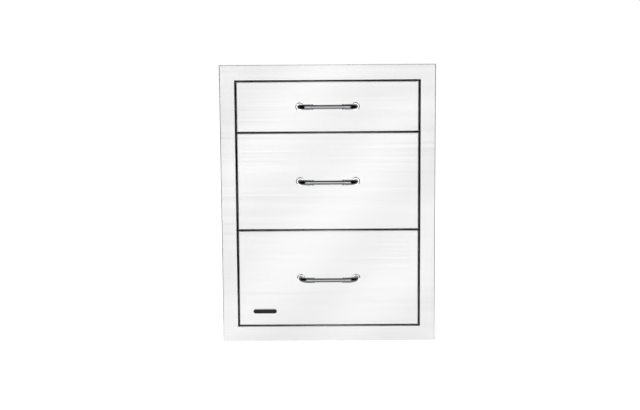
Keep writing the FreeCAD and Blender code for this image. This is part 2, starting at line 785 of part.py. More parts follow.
build_face_frame()
build_cabinet_sides()
build_cabinet_top_and_bottom()
build_cabinet_back()
for drawer_name, front_low, front_height, tray_height in DRAWERS:
    build_front(drawer_name, front_low, front_height)
    build_liner(drawer_name, front_low, front_height)
    build_tray(drawer_name, front_low, tray_height)
    build_tray_back(drawer_name, front_low, tray_height)
build_slides()
build_handles()
check_and_write()
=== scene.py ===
"""Looks for an outdoor kitchen drawer unit: brushed stainless steel with polished bar handles.

Everything is in metres in the part's own frame: X points right, the drawers open towards -Y
and Z points up.
"""

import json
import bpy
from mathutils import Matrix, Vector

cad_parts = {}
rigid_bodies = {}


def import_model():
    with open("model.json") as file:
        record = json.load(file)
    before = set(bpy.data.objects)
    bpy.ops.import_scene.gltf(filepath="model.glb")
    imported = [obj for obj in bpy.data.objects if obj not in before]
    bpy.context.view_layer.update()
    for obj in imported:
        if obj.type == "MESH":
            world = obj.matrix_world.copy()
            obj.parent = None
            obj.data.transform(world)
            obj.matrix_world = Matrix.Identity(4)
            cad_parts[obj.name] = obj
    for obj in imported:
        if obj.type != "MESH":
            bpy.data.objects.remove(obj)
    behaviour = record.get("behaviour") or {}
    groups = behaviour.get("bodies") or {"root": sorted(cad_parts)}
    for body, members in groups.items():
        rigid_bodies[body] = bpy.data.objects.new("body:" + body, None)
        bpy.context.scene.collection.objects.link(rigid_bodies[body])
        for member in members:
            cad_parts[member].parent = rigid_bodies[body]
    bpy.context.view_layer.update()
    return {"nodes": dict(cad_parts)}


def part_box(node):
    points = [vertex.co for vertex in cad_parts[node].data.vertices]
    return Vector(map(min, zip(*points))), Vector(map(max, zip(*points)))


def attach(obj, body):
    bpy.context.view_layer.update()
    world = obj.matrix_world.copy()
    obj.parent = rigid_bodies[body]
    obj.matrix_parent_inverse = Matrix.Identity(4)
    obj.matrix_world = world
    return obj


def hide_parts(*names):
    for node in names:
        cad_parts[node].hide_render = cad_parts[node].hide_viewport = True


bl_info = {
    "name": "Outdoor Kitchen Drawer Unit",
    "version": (1, 0, 0),
    "blender": (4, 5, 0),
    "location": "3D View > Sidebar > Drawer Unit",
    "description": "Finishes, handles, fasteners and studio for a stainless drawer unit",
    "category": "Object",
}

from math import cos, pi, radians, sin

import bmesh
import bpy
from bpy.props import FloatProperty, FloatVectorProperty, IntProperty, PointerProperty
from bpy.types import Operator, Panel, PropertyGroup
from mathutils import Matrix, Vector

for leftover in list(bpy.data.objects):
    bpy.data.objects.remove(leftover)
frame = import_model()

MM = 0.001
DRAWERS = ("upper", "middle", "lower")
# each side's name and its direction along X
SIDES = (("left", -1), ("right", 1))
# turns a shape's own +Z to -Y
TOWARDS_VIEWER = Matrix.Rotation(pi / 2, 4, "X")
# faces that meet at a wider angle than this show a crisp edge
SHARP_ANGLE = radians(35)
# the part of its range that noise seldom leaves
NOISE_MIDDLE = {"From Min": 0.3, "From Max": 0.7}
# a wave texture of scale 1 has one band in this length
WAVE_LENGTH = 2 * pi / 20
WHITE = (1, 1, 1, 1)


def linear(hex_colour):
    """An sRGB hex colour as linear red, green and blue."""
    shares = [int(hex_colour[place : place + 2], 16) / 255 for place in (1, 3, 5)]
    return tuple(s / 12.92 if s <= 0.04045 else ((s + 0.055) / 1.055) ** 2.4 for s in shares)


def length(name, millimetres, description):
    return FloatProperty(
        name=name, default=millimetres * MM, description=description, unit="LENGTH", precision=4
    )


def angle(name, degrees, description):
    return FloatProperty(
        name=name, default=radians(degrees), description=description, subtype="ANGLE"
    )


def colour(name, hex_colour, description):
    return FloatVectorProperty(
        name=name,
        default=linear(hex_colour),
        description=description,
        subtype="COLOR",
        min=0,
        max=1,
    )


class FinishSettings(PropertyGroup):
    stainless: colour("Stainless", "#F4F4F4", "Brushed sheet of the frame and fronts")
    cabinet: colour("Cabinet sheet", "#DADBDD", "Plain rolled sheet of the cabinet and trays")
    chrome: colour("Chrome", "#747577", "Polished handles")
    polished: colour("Polished steel", "#929395", "Balls of the slides and rim of the badge")
    zinc: colour("Zinc", "#B4B9C2", "Plated steel of the slides")
    nylon: colour("Nylon", "#1B1B1D", "Moulded cages and stops")
    enamel: colour("Enamel", "#101012", "Blank badge")
    # the real lines are about 0.1 mm apart, too fine to show, so they are drawn coarser
    line_spacing: length("Line spacing", 2.6, "Spacing of the brushing lines")
    # the slanted bands are painted reflection: slow light and dark stripes in the sheet's colour,
    # standing in for a long reflection
    painted_reflection_spacing: length("Band spacing", 215, "Spacing of the soft slanted bands in the sheet")
    painted_reflection_slant: angle("Band slant", 41.6, "Lean of those bands from upright")


class HandleSettings(PropertyGroup):
    stem_radius: length("Stem radius", 5.5, "Post where it leaves the rosette")
    elbow_radius: length("Elbow radius", 6.15, "Thickest part, just past the bend")
    arm_radius: length("Arm radius", 5.75, "Arm before the groove")
    groove_radius: length("Groove radius", 5.1, "Groove beside the collar")
    groove_width: length("Groove width", 1.0, "Length of the groove")
    bend_radius: length("Bend radius", 21, "Centre line of the elbow")
    collar_length: length("Collar length", 4, "Collar that takes the bar")
    edge_radius: length("Edge radius", 0.5, "Softened edges of collar and rosette")
    bevel_width: length("Bevel width", 2.1, "Sloping ring round the rosette's face")
    bevel_fall: length("Bevel fall", 1.15, "How far that ring slopes down to the rim")
    sides: IntProperty(name="Sides", default=48, description="Sides of each round section")


class BadgeSettings(PropertyGroup):
    width: length("Width", 55, "Whole width with the round ends")
    height: length("Height", 10.6, "Whole height")
    thickness: length("Thickness", 1.2, "How far the rim stands out")
    rim: length("Rim", 0.7, "Width of the polished rim round the enamel")
    inlay_rise: length("Inlay rise", 0.1, "How far the enamel stands above the rim")
    inlay_edge: length("Inlay edge", 0.08, "Softened edge of the enamel")
    from_left: length("From left", 60, "Centre of the badge from the front's left edge")
    from_bottom: length("From bottom", 32.5, "Centre of the badge from the front's lower edge")
    sides: IntProperty(name="Sides", default=48, description="Sides of the two round ends together")


class FastenerSettings(PropertyGroup):
    rivet_radius: length("Rivet radius", 3.2, "Domed rivet heads on the cabinet")
    rivet_height: length("Rivet height", 1.1, "Height of the domes")
    screw_radius: length("Screw radius", 3.6, "Pan heads of the slide and handle screws")
    screw_height: length("Screw height", 1.8, "Height of the pan heads")
    slide_shank: length("Slide screw shank", 2.1, "Shank through the sheet and the slide")
    handle_shank: length("Handle screw shank", 1.0, "Shank through the front's sheet")
    slide_inset: length("Slide screw inset", 60, "Screw from each end of a slide")
    ball_radius: length("Ball radius", 2, "Balls of the slides")
    sides: IntProperty(name="Sides", default=20, description="Sides of each rivet and screw")


class StudioSettings(PropertyGroup):
    camera_place: FloatVectorProperty(
        name="Camera",
        default=(0.0003, -2.4669, 0.6182),
        description="Where the camera stands",
        subtype="XYZ",
    )
    pitch: angle("Pitch", -6.899, "Tilt of the view")
    yaw: angle("Yaw", 0.447, "Turn of the view")
    roll: angle("Roll", -0.403, "Roll of the view")
    lens: FloatProperty(name="Lens", default=60.2, description="Focal length on a 36 mm sensor")
    ambient: FloatProperty(name="Ambient", default=0.9, description="Even light from all round")
    paper: colour("Paper", "#DADADA", "Floor, before its glow")
    paper_glow: FloatProperty(
        name="Paper glow", default=0.47, description="Glow of the floor to what looks at it"
    )
    felt: colour("Felt", "#1A1A1A", "Black cards beside the unit")
    ceiling: colour("Ceiling", "#3F3F3F", "Dark ceiling that reflections look up to")
    ceiling_low: angle("Ceiling from", 28, "Height over the horizon where the ceiling starts")
    ceiling_high: angle("Ceiling full", 40, "Height over the horizon where it is full")


def add_node(tree, kind, settings=None, links=None):
    """Add a node, set its properties and sockets by name and link its inputs."""
    node = tree.nodes.new(kind)
    for name, setting in (settings or {}).items():
        if isinstance(name, int) or name in node.inputs:
            node.inputs[name].default_value = setting
        else:
            setattr(node, name, setting)
    for name, source in (links or {}).items():
        tree.links.new(source, node.inputs[name])
    return node


def new_material(name, settings):
    """A material whose one Principled shader has these settings."""
    material = bpy.data.materials.new(name)
    material.use_nodes = True
    tree = material.node_tree
    tree.nodes.clear()
    shader = add_node(tree, "ShaderNodeBsdfPrincipled", settings)
    add_node(tree, "ShaderNodeOutputMaterial", links={"Surface": shader.outputs["BSDF"]})
    return material, tree, shader


def dress_shader(tree, shader, rgb, brightness, pattern, roughness, relief):
    """Let a shader's colour follow a brightness, and its roughness and relief a pattern.

    Roughness is the pair that the pattern runs between, and relief holds the bump's settings.
    """
    tone = add_node(
        tree,
        "ShaderNodeVectorMath",
        {"operation": "SCALE", 0: tuple(rgb)},
        {"Scale": brightness},
    )
    tree.links.new(tone.outputs["Vector"], shader.inputs["Base Color"])
    smooth, dull = roughness
    blur = add_node(
        tree,
        "ShaderNodeMapRange",
        {**NOISE_MIDDLE, "To Min": smooth, "To Max": dull},
        {"Value": pattern},
    )
    tree.links.new(blur.outputs["Result"], shader.inputs["Roughness"])
    if relief:
        bump = add_node(tree, "ShaderNodeBump", relief, {"Height": pattern})
        tree.links.new(bump.outputs["Normal"], shader.inputs["Normal"])


def sheet_steel(name, rgb, tones, painted_reflection_spacing, roughness, contrast, stretch):
    """Sheet steel with brushing lines along X, over soft slanted bands of painted reflection in its
    colour.

    Contrast is the depth of the painted reflection bands. Stretch draws reflections out, a quarter
    turn from the lines, as brushing does.
    """
    material, tree, shader = new_material(
        name, {"Metallic": 1.0, "Anisotropic": stretch, "Anisotropic Rotation": 0.25}
    )
    place = add_node(tree, "ShaderNodeTexCoord")
    # a dark band of the painted reflection passes near this point, at the upper right of the frame
    painted_reflection_start = (0.15, 0, 0.627)
    slant = add_node(
        tree,
        "ShaderNodeMapping",
        {"vector_type": "TEXTURE", "Location": painted_reflection_start, "Rotation": (0, tones.painted_reflection_slant, 0)},
        {"Vector": place.outputs["Object"]},
    )
    painted_reflection_bands = add_node(
        tree,
        "ShaderNodeTexWave",
        {
            "Scale": WAVE_LENGTH / painted_reflection_spacing,
            "Distortion": 1.2,
            "Detail": 1.0,
            "Detail Scale": 2.7,
        },
        {"Vector": slant.outputs["Vector"]},
    )
    # painted reflection: the bands darken the sheet's colour in slow slanted stripes
    painted_reflection = add_node(
        tree,
        "ShaderNodeMapRange",
        {"To Min": 1 - contrast, "To Max": 1.0},
        {"Value": painted_reflection_bands.outputs["Fac"]},
    )
    # each line runs on for about 250 times its width
    run = add_node(
        tree,
        "ShaderNodeMapping",
        {"Scale": (0.004, 1, 1)},
        {"Vector": place.outputs["Object"]},
    )
    lines = add_node(
        tree,
        "ShaderNodeTexNoise",
        {"Scale": 1 / tones.line_spacing, "Detail": 2.0, "Roughness": 0.55},
        {"Vector": run.outputs["Vector"]},
    )
    line_depth = 0.02
    line = add_node(
        tree,
        "ShaderNodeMapRange",
        {**NOISE_MIDDLE, "To Min": -line_depth, "To Max": line_depth},
        {"Value": lines.outputs["Fac"]},
    )
    both = add_node(
        tree,
        "ShaderNodeMath",
        {"operation": "ADD"},
        {0: painted_reflection.outputs["Result"], 1: line.outputs["Result"]},
    )
    line_blur = 0.06
    dress_shader(
        tree,
        shader,
        rgb,
        brightness=both.outputs["Value"],
        pattern=lines.outputs["Fac"],
        roughness=(roughness - line_blur, roughness + line_blur),
        relief={"Strength": 0.12, "Distance": 0.04 * MM},
    )
    return material


def plain_finish(
    name, rgb, roughness, patch, contrast=0.06, metallic=1.0, specular=0.5, texture_depth=0.0
):
    """A finish whose tone and roughness vary in patches of one size.

    With a texture depth, the patches stand out as a moulded texture too.
    """
    material, tree, shader = new_material(
        name, {"Metallic": metallic, "Specular IOR Level": specular}
    )
    place = add_node(tree, "ShaderNodeTexCoord")
    patches = add_node(
        tree,
        "ShaderNodeTexNoise",
        {"Scale": 1 / patch, "Detail": 4.0, "Roughness": 0.55},
        {"Vector": place.outputs["Object"]},
    )
    tone = add_node(
        tree,
        "ShaderNodeMapRange",
        {**NOISE_MIDDLE, "To Min": 1 - contrast, "To Max": 1.0},
        {"Value": patches.outputs["Fac"]},
    )
    dress_shader(
        tree,
        shader,
        rgb,
        brightness=tone.outputs["Result"],
        pattern=patches.outputs["Fac"],
        roughness=(0.8 * roughness, 1.2 * roughness),
        relief={"Strength": 0.5, "Distance": texture_depth} if texture_depth else None,
    )
    return material


def dress(thing, material):
    thing.data.materials.clear()
    thing.data.materials.append(material)


def sort_by_place(shape):
    """Give points, edges and faces one order, because the operators' order changes between runs."""

    def rank(place):
        return place.x + place.y / pi + place.z / pi**2

    shape.verts.sort(key=lambda point: rank(point.co))
    shape.edges.sort(key=lambda edge: rank(edge.verts[0].co + edge.verts[1].co))
    shape.faces.sort(key=lambda face: rank(face.calc_center_median()))


def new_piece(name, shape, material, body, replaced=()):
    """Finish a bmesh as a smooth-shaded piece that rides on a body."""
    sort_by_place(shape)
    mesh = bpy.data.meshes.new(name)
    shape.to_mesh(mesh)
    shape.free()
    piece = bpy.data.objects.new(name, mesh)
    bpy.context.scene.collection.objects.link(piece)
    mesh.materials.append(material)
    mesh.shade_smooth()
    mesh.set_sharp_from_angle(angle=SHARP_ANGLE)
    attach(piece, body)
    if replaced:
        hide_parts(*replaced)
    return piece


def turned(shape, profile, place, sides):
    """Spin a profile of (radius, height) points about the local Z axis and put it in place.

    What the shape already holds is tagged and stays as it is.
    """
    points = [shape.verts.new((radius, 0, height)) for radius, height in profile]
    edges = [shape.edges.new(pair) for pair in zip(points, points[1:])]
    bmesh.ops.spin(
        shape,
        geom=points + edges,
        axis=(0, 0, 1),
        cent=(0, 0, 0),
        angle=2 * pi,
        steps=sides,
        use_merge=True,
    )
    fresh = [point for point in shape.verts if not point.tag]
    bmesh.ops.remove_doubles(shape, verts=fresh, dist=0.001 * MM)
    fresh = [point for point in shape.verts if not point.tag]
    bmesh.ops.transform(shape, matrix=place, verts=fresh)
    faces = [face for face in shape.faces if not face.tag]
    bmesh.ops.recalc_face_normals(shape, faces=faces)
    for part in fresh + faces:
        part.tag = True


def swept(shape, stations, sides):
    """Carry a round section through stations, each a place and a radius, and close both ends."""
    place, radius = stations[0]
    circle = bmesh.ops.create_circle(
        shape, cap_ends=True, segments=sides, radius=radius, matrix=place
    )
    edges = list(dict.fromkeys(edge for point in circle["verts"] for edge in point.link_edges))
    for new_place, new_radius in stations[1:]:
        grown = bmesh.ops.extrude_edge_only(shape, edges=edges)["geom"]
        ring = [part for part in grown if isinstance(part, bmesh.types.BMVert)]
        edges = [part for part in grown if isinstance(part, bmesh.types.BMEdge)]
        resize = Matrix.Scale(new_radius / radius, 4)
        bmesh.ops.transform(shape, matrix=new_place @ resize @ place.inverted(), verts=ring)
        place, radius = new_place, new_radius
    bmesh.ops.contextual_create(shape, geom=edges)
    bmesh.ops.recalc_face_normals(shape, faces=shape.faces)


def rounded_corner(radius, height, edge, steps=4):
    """Profile points of an outer edge that turns from a side wall to a flat top."""
    turns = [pi / 2 * step / steps for step in range(steps + 1)]
    return [
        (radius - edge + edge * cos(turn), height - edge + edge * sin(turn)) for turn in turns
    ]


class DRAWERUNIT_OT_finish_sheets(Operator):
    """Give every sheet, slide and cage of the unit its finish"""

    bl_idname = "drawer_unit.finish_sheets"
    bl_label = "Finish Sheets"

    def execute(self, context):
        tones = context.scene.drawer_finish
        # 304 stainless with a number 4 brushed finish: bright, softly blurred reflections
        brushed = sheet_steel(
            "brushed_304_stainless",
            tones.stainless,
            tones,
            tones.painted_reflection_spacing,
            roughness=0.5,
            contrast=0.06,
            stretch=0.75,
        )
        # 304 stainless as rolled: greyer, with wider and fainter bands of painted reflection in its
        #                          colour
        rolled = sheet_steel(
            "rolled_304_stainless",
            tones.cabinet,
            tones,
            1.6 * tones.painted_reflection_spacing,
            roughness=0.36,
            contrast=0.03,
            stretch=0.0,
        )
        # cold-rolled steel with bright zinc plating: bluish grey with a fine spangle
        plated = plain_finish(
            "bright_zinc_plate", tones.zinc, roughness=0.32, patch=4 * MM, contrast=0.14
        )
        # moulded nylon 66: black with a faint sheen and a spark-eroded texture
        nylon = plain_finish(
            "moulded_nylon_66",
            tones.nylon,
            roughness=0.48,
            patch=0.6 * MM,
            contrast=0.2,
            metallic=0.0,
            texture_depth=0.02 * MM,
        )
        for name, node in frame["nodes"].items():
            if name.startswith(("face_frame", "drawer_front")):
                dress(node, brushed)
            elif name.startswith(("slide_stops", "outer_cage", "inner_cage")):
                dress(node, nylon)
            elif name.startswith("slide"):
                dress(node, plated)
            else:
                dress(node, rolled)
        return {"FINISHED"}


class DRAWERUNIT_OT_add_handles(Operator):
    """Build the polished bar handles with their posts and rosettes"""

    bl_idname = "drawer_unit.add_handles"
    bl_label = "Add Handles"

    def execute(self, context):
        sizes = context.scene.drawer_handle
        tones = context.scene.drawer_finish
        # die-cast posts and drawn bar under decorative chrome: mirror-like, with rounded edges
        chrome = plain_finish(
            "decorative_chrome", tones.chrome, roughness=0.06, patch=30 * MM, contrast=0.03
        )
        # stamped stainless washers under the posts: bevelled and buffed bright
        buffed = plain_finish(
            "buffed_stainless_washer", tones.stainless, roughness=0.1, patch=2 * MM, contrast=0.04
        )
        for drawer in DRAWERS:
            shapes = {
                "posts": (self.posts(drawer, sizes), chrome),
                "bar": (self.bar(drawer, sizes), chrome),
                "rosettes": (self.rosettes(drawer, sizes), buffed),
            }
            for kind, (shape, metal) in shapes.items():
                piece = new_piece(
                    f"{kind}_{drawer}",
                    shape,
                    metal,
                    f"drawer_{drawer}",
                    [f"handle_{kind}_{drawer}"],
                )
                # in the brushed front a handle's reflection would be a grey cloud
                piece.visible_glossy = kind == "rosettes"
        return {"FINISHED"}

    def posts(self, drawer, sizes):
        shape = bmesh.new()
        for _, sign in SIDES:
            swept(shape, self.post_stations(drawer, sizes, sign), sizes.sides)
        return shape

    def post_stations(self, drawer, sizes, sign):
        """Stem, elbow, arm, groove and collar, from the rosette to the bar."""
        low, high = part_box(f"handle_posts_{drawer}")
        rosette_low, rosette_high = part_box(f"handle_rosettes_{drawer}")
        bar_low, bar_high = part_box(f"handle_bar_{drawer}")
        level = (low.z + high.z) / 2
        rosette_radius = (rosette_high.z - rosette_low.z) / 2
        root = (rosette_high.x - rosette_low.x) / 2 - rosette_radius
        foot = high.y
        reach = (bar_low.y + bar_high.y) / 2
        bend = sizes.bend_radius
        collar_radius = (high.z - low.z) / 2
        edge = sizes.edge_radius

        def station(across, out, turn, radius):
            travel = Matrix.Rotation(-sign * turn, 4, "Z") @ TOWARDS_VIEWER
            return Matrix.Translation((sign * across, out, level)) @ travel, radius

        stations = [
            station(root, foot + 2 * edge, 0, sizes.stem_radius + 2 * edge),
            station(root, foot, 0, sizes.stem_radius + edge),
            station(root, foot - 2 * edge, 0, sizes.stem_radius),
        ]
        elbow_steps = 14
        for step in range(elbow_steps + 1):
            turn = pi / 2 * step / elbow_steps
            across = root - bend * (1 - cos(turn))
            out = reach + bend * (1 - sin(turn))
            swell = (1 - cos(2 * turn)) / 2
            radius = sizes.stem_radius + (sizes.elbow_radius - sizes.stem_radius) * swell
            stations.append(station(across, out, turn, radius))
        bar_end = bar_high.x
        collar = bar_end + sizes.collar_length
        groove = collar + sizes.groove_width
        arm = [
            (groove + 3 * edge, sizes.arm_radius + edge / 2),
            (groove, sizes.arm_radius),
            (groove - edge / 2, sizes.groove_radius),
            (collar, sizes.groove_radius),
            (collar, collar_radius - edge),
            (collar - edge, collar_radius),
            (bar_end + edge, collar_radius),
            (bar_end, collar_radius - edge),
        ]
        stations += [station(across, reach, pi / 2, radius) for across, radius in arm]
        return stations

    def bar(self, drawer, sizes):
        low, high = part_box(f"handle_bar_{drawer}")
        middle = (low + high) / 2
        radius = (high.z - low.z) / 2
        sideways = Matrix.Rotation(pi / 2, 4, "Y")
        stations = [
            (Matrix.Translation((across, middle.y, middle.z)) @ sideways, radius)
            for across in (low.x, middle.x, high.x)
        ]
        shape = bmesh.new()
        swept(shape, stations, sizes.sides)
        return shape

    def rosettes(self, drawer, sizes):
        """Flat discs with a bevelled rim, one at each post's foot."""
        low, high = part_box(f"handle_rosettes_{drawer}")
        radius = (high.z - low.z) / 2
        thickness = high.y - low.y
        face = radius - sizes.bevel_width
        soft = sizes.edge_radius / 2
        profile = [
            (0, 0),
            (radius, 0),
            *rounded_corner(radius, thickness - sizes.bevel_fall, soft),
            (face + soft, thickness - soft / 2),
            (face, thickness),
            (face - soft, thickness),
            (0, thickness),
        ]
        shape = bmesh.new()
        for _, sign in SIDES:
            centre = Vector((sign * (high.x - radius), high.y, (low.z + high.z) / 2))
            turned(shape, profile, Matrix.Translation(centre) @ TOWARDS_VIEWER, sizes.sides)
        return shape


class DRAWERUNIT_OT_add_badge(Operator):
    """Put the blank enamelled badge on the lower front"""

    bl_idname = "drawer_unit.add_badge"
    bl_label = "Add Badge"

    def execute(self, context):
        sizes = context.scene.drawer_badge
        tones = context.scene.drawer_finish
        # stamped steel plate, polished where its rim shows
        rim_metal = plain_finish(
            "polished_badge_rim", tones.polished, roughness=0.12, patch=10 * MM, contrast=0.03
        )
        # black stove enamel: smooth and softly glossy
        enamel = plain_finish(
            "black_stove_enamel",
            tones.enamel,
            roughness=0.3,
            patch=2 * MM,
            contrast=0.1,
            metallic=0.0,
            specular=0.25,
        )
        low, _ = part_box("drawer_front_lower")
        centre = Vector((low.x + sizes.from_left, low.y, low.z + sizes.from_bottom))
        place = Matrix.Translation(centre) @ TOWARDS_VIEWER
        plate = self.stadium(
            sizes.width, sizes.height, sizes.thickness, sizes.rim / 2, sizes.sides, place
        )
        new_piece("badge_plate", plate, rim_metal, "drawer_lower")
        inlay = self.stadium(
            sizes.width - 2 * sizes.rim,
            sizes.height - 2 * sizes.rim,
            sizes.thickness + sizes.inlay_rise,
            sizes.inlay_edge,
            sizes.sides,
            place,
        )
        new_piece("badge_inlay", inlay, enamel, "drawer_lower")
        return {"FINISHED"}

    def stadium(self, width, height, thickness, edge, sides, place):
        """A flat plate with half-round ends and a softened rim."""
        shape = bmesh.new()
        # half a step's turn, so that no point lies on the line between the two halves
        half_step = Matrix.Rotation(pi / sides, 4, "Z")
        circle = bmesh.ops.create_circle(
            shape, cap_ends=True, segments=sides, radius=height / 2, matrix=half_step
        )
        for _, sign in SIDES:
            half = [point for point in circle["verts"] if point.co.x * sign > 0]
            bmesh.ops.translate(shape, vec=(sign * (width - height) / 2, 0, 0), verts=half)
        top = bmesh.ops.extrude_face_region(shape, geom=shape.faces[:])["geom"]
        raised = [part for part in top if isinstance(part, bmesh.types.BMVert)]
        bmesh.ops.translate(shape, vec=(0, 0, thickness), verts=raised)
        rim = [line for line in shape.edges if all(point in raised for point in line.verts)]
        bmesh.ops.bevel(
            shape, geom=rim, offset=edge, segments=3, profile=0.5, affect="EDGES", material=-1
        )
        bmesh.ops.recalc_face_normals(shape, faces=shape.faces)
        bmesh.ops.transform(shape, matrix=place, verts=shape.verts)
        return shape


class DRAWERUNIT_OT_add_fasteners(Operator):
    """Set rivets along the cabinet's seams and screws in the slides and handles"""

    bl_idname = "drawer_unit.add_fasteners"
    bl_label = "Add Fasteners"

    def execute(self, context):
        sizes = context.scene.drawer_fastener
        tones = context.scene.drawer_finish
        # drawn stainless blind rivets and pan-head screws: glossier than the sheet round them
        metal = plain_finish(
            "stainless_fastener", tones.cabinet, roughness=0.24, patch=2 * MM, contrast=0.1
        )
        self.add_cabinet_rivets(sizes, metal)
        self.add_screws(sizes, metal)
        return {"FINISHED"}

    def rivet(self, shape, point, outwards, sizes):
        """A domed head with the broken pin's hollow in its middle."""
        radius, height = sizes.rivet_radius, sizes.rivet_height
        hollow, floor = 0.3 * radius, 0.55 * height
        turns = [radians(degrees) for degrees in (35, 55, 75, 90)]
        dome = [(radius * sin(turn), height * cos(turn)) for turn in turns]
        profile = [(0, floor), (hollow, floor), (hollow, height), *dome, (0, 0)]
        turned(shape, profile, self.facing(point, outwards), sizes.sides)

    def screw(self, shape, point, outwards, shank_length, sizes):
        """A pan head with a round recess, over a plain shank."""
        radius, height = sizes.screw_radius, sizes.screw_height
        shank = 0.55 * radius
        profile = [
            (0, 0.45 * height),
            (0.3 * radius, 0.5 * height),
            (0.34 * radius, height),
            *rounded_corner(radius, height, 0.55 * height),
            (radius, 0),
            (shank, 0),
            (shank, -shank_length),
            (0, -shank_length),
        ]
        turned(shape, profile, self.facing(point, outwards), sizes.sides)

    def facing(self, point, outwards):
        turn = Vector(outwards).to_track_quat("Z", "Y").to_matrix().to_4x4()
        return Matrix.Translation(point) @ turn

    def add_cabinet_rivets(self, sizes, metal):
        shape = bmesh.new()
        _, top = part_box("cabinet_top")
        bottom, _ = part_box("cabinet_bottom")
        back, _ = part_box("cabinet_back")
        side_low, side_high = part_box("cabinet_side_right")
        seam_depth = (back.y + top.y) / 2
        seam_across = (side_low.x + side_high.x) / 2
        for height, outwards in ((top.z, (0, 0, 1)), (bottom.z, (0, 0, -1))):
            for _, sign in SIDES:
                for share in (0.14, 0.32, 0.5, 0.68, 0.86):
                    point = (sign * seam_across, share * top.y, height)
                    self.rivet(shape, point, outwards, sizes)
            for across in (-0.12, 0, 0.12):
                self.rivet(shape, (across, seam_depth, height), outwards, sizes)
        for _, sign in SIDES:
            for share in (0.12, 0.37, 0.63, 0.88):
                height = side_low.z + (side_high.z - side_low.z) * share
                self.rivet(shape, (sign * side_high.x, seam_depth, height), (sign, 0, 0), sizes)
        new_piece("cabinet_rivets", shape, metal, "cabinet")

    def add_screws(self, sizes, metal):
        tray_sheet = 1.0 * MM
        front_sheet = 1.2 * MM
        _, side_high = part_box("cabinet_side_right")
        cabinet_screws = bmesh.new()
        for drawer in DRAWERS:
            shape = bmesh.new()
            slide_low, slide_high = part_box(f"slide_outer_{drawer}_right")
            _, tray_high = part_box(f"tray_{drawer}")
            rosette_low, rosette_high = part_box(f"handle_rosettes_{drawer}")
            front_low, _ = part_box(f"drawer_front_{drawer}")
            slide_level = (slide_low.z + slide_high.z) / 2
            handle_level = (rosette_low.z + rosette_high.z) / 2
            post_across = rosette_high.x - (rosette_high.z - rosette_low.z) / 2
            for _, sign in SIDES:
                for depth in (slide_low.y + sizes.slide_inset, slide_high.y - sizes.slide_inset):
                    outside = (sign * side_high.x, depth, slide_level)
                    self.screw(cabinet_screws, outside, (sign, 0, 0), sizes.slide_shank, sizes)
                    inside = (sign * (tray_high.x - tray_sheet), depth, slide_level)
                    self.screw(shape, inside, (-sign, 0, 0), sizes.slide_shank, sizes)
                behind = (sign * post_across, front_low.y + front_sheet, handle_level)
                self.screw(shape, behind, (0, 1, 0), sizes.handle_shank, sizes)
            new_piece(f"screws_{drawer}", shape, metal, f"drawer_{drawer}")
        new_piece("slide_screws", cabinet_screws, metal, "cabinet")


class DRAWERUNIT_OT_add_balls(Operator):
    """Fill the pockets of the slide cages with balls"""

    bl_idname = "drawer_unit.add_balls"
    bl_label = "Add Balls"

    def execute(self, context):
        radius = context.scene.drawer_fastener.ball_radius
        tones = context.scene.drawer_finish
        # hardened bearing steel, ground and lapped to a mirror
        steel = plain_finish(
            "lapped_bearing_steel", tones.polished, roughness=0.08, patch=10 * MM, contrast=0.04
        )
        for drawer in DRAWERS:
            for kind in ("outer", "inner"):
                shape = bmesh.new()
                for side, sign in SIDES:
                    self.fill_cage(shape, f"{kind}_cage_{drawer}_{side}", sign, radius)
                name = f"{kind}_balls_{drawer}"
                new_piece(name, shape, steel, f"{kind}_cages_{drawer}")
        return {"FINISHED"}

    def fill_cage(self, shape, cage, sign, radius):
        """Four balls along the cage's upper flange and four along its lower one."""
        low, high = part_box(cage)
        pockets = 4
        overhang = 1.4 * MM
        sheet = 0.5 * MM
        inner_edge = low.x if sign > 0 else high.x
        across = inner_edge + sign * overhang
        pitch = (high.y - low.y) / pockets
        for number in range(pockets):
            depth = low.y + (number + 0.5) * pitch
            for height in (low.z + sheet / 2, high.z - sheet / 2):
                place = Matrix.Translation((across, depth, height))
                bmesh.ops.create_icosphere(shape, subdivisions=2, radius=radius, matrix=place)


